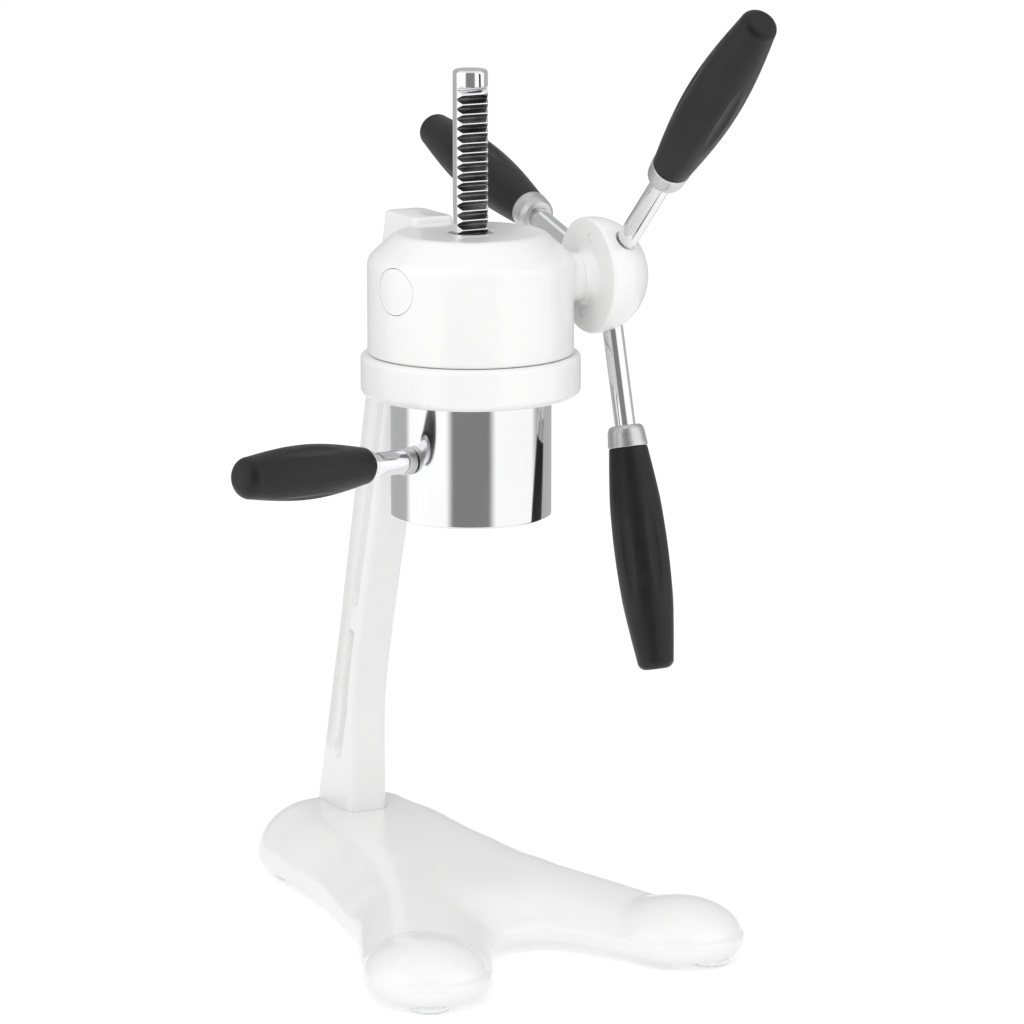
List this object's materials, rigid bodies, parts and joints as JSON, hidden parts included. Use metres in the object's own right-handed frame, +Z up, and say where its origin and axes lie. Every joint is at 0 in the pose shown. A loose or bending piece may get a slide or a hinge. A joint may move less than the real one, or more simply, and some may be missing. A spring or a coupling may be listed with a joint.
{
  "type": "citrus press juicer",
  "caption": "Hand-operated citrus press: a round cast head on a leaning column and lobed base, a capstan that drives a toothed rack and plunger into a locked steel cup with a side handle.",
  "frame": {"origin": "the point on the table below the shared axis of the cup, the plunger and the rack", "axes": "+Z up, -Y to the open front of the base, +Y to the column, +X to the capstan"},
  "size_m": [0.2854, 0.3892, 0.5517],
  "materials": {
    "white_enamel": "gloss",
    "clear_pad": "clear",
    "bearing_bronze": "satin",
    "black_grip": "satin",
    "satin_ferrule": "satin",
    "chrome": "polished",
    "polished_stainless": "polished",
    "plain_steel": "satin"
  },
  "bodies": {
    "frame": {"base": "white_enamel", "foot_pad_front_left": "clear_pad", "foot_pad_front_right": "clear_pad", "foot_pad_rear_left": "clear_pad", "foot_pad_rear_right": "clear_pad", "column": "white_enamel", "column_bolts": "plain_steel", "column_washers": "plain_steel", "head_housing": "white_enamel", "head_bolts": "plain_steel", "collar_ring": "white_enamel", "collar_screws": "plain_steel", "bearing_cap": "white_enamel", "rack_guide_bush": "bearing_bronze", "bushing_left": "bearing_bronze", "bushing_right": "bearing_bronze", "brake_pad": "bearing_bronze", "brake_spring": "plain_steel", "brake_screw": "plain_steel"},
    "rack_and_plunger": {"rack": "chrome", "plunger": "polished_stainless", "plunger_bolt": "polished_stainless"},
    "cup_unit": {"cup": "polished_stainless", "strainer": "polished_stainless", "cup_handle_boss": "chrome", "cup_handle_rod": "chrome", "cup_handle_ring": "chrome", "cup_grip": "black_grip"},
    "capstan": {"pinion_shaft": "plain_steel", "pinion_gear": "plain_steel", "pinion_key": "plain_steel", "shaft_retaining_ring": "plain_steel", "hub": "white_enamel", "hub_plugs": "white_enamel", "arm_rod_front": "chrome", "arm_rod_lower": "chrome", "arm_rod_rear": "chrome", "ferrule_front": "satin_ferrule", "ferrule_lower": "satin_ferrule", "ferrule_rear": "satin_ferrule", "grip_front": "black_grip", "grip_lower": "black_grip", "grip_rear": "black_grip"}
  },
  "joints": [
    {"name": "capstan_turn", "type": "hinge", "parent": "frame", "child": "capstan", "pos_m": [0, -0.01475, 0.386], "axis": [-1, 0, 0], "range_deg": [0, 425.6]},
    {"name": "rack_slide", "type": "slide", "parent": "frame", "child": "rack_and_plunger", "axis": [0, 0, -1], "range_m": [0, 0.078]},
    {"name": "cup_turn", "type": "hinge", "parent": "frame", "child": "cup_unit", "pos_m": [0, 0, 0.33], "axis": [0, 0, 1], "range_deg": [0, 45]}
  ],
  "couplings": [
    {"joint": "rack_slide", "follows": "capstan_turn", "m_per_rad": 0.0105}
  ]
}
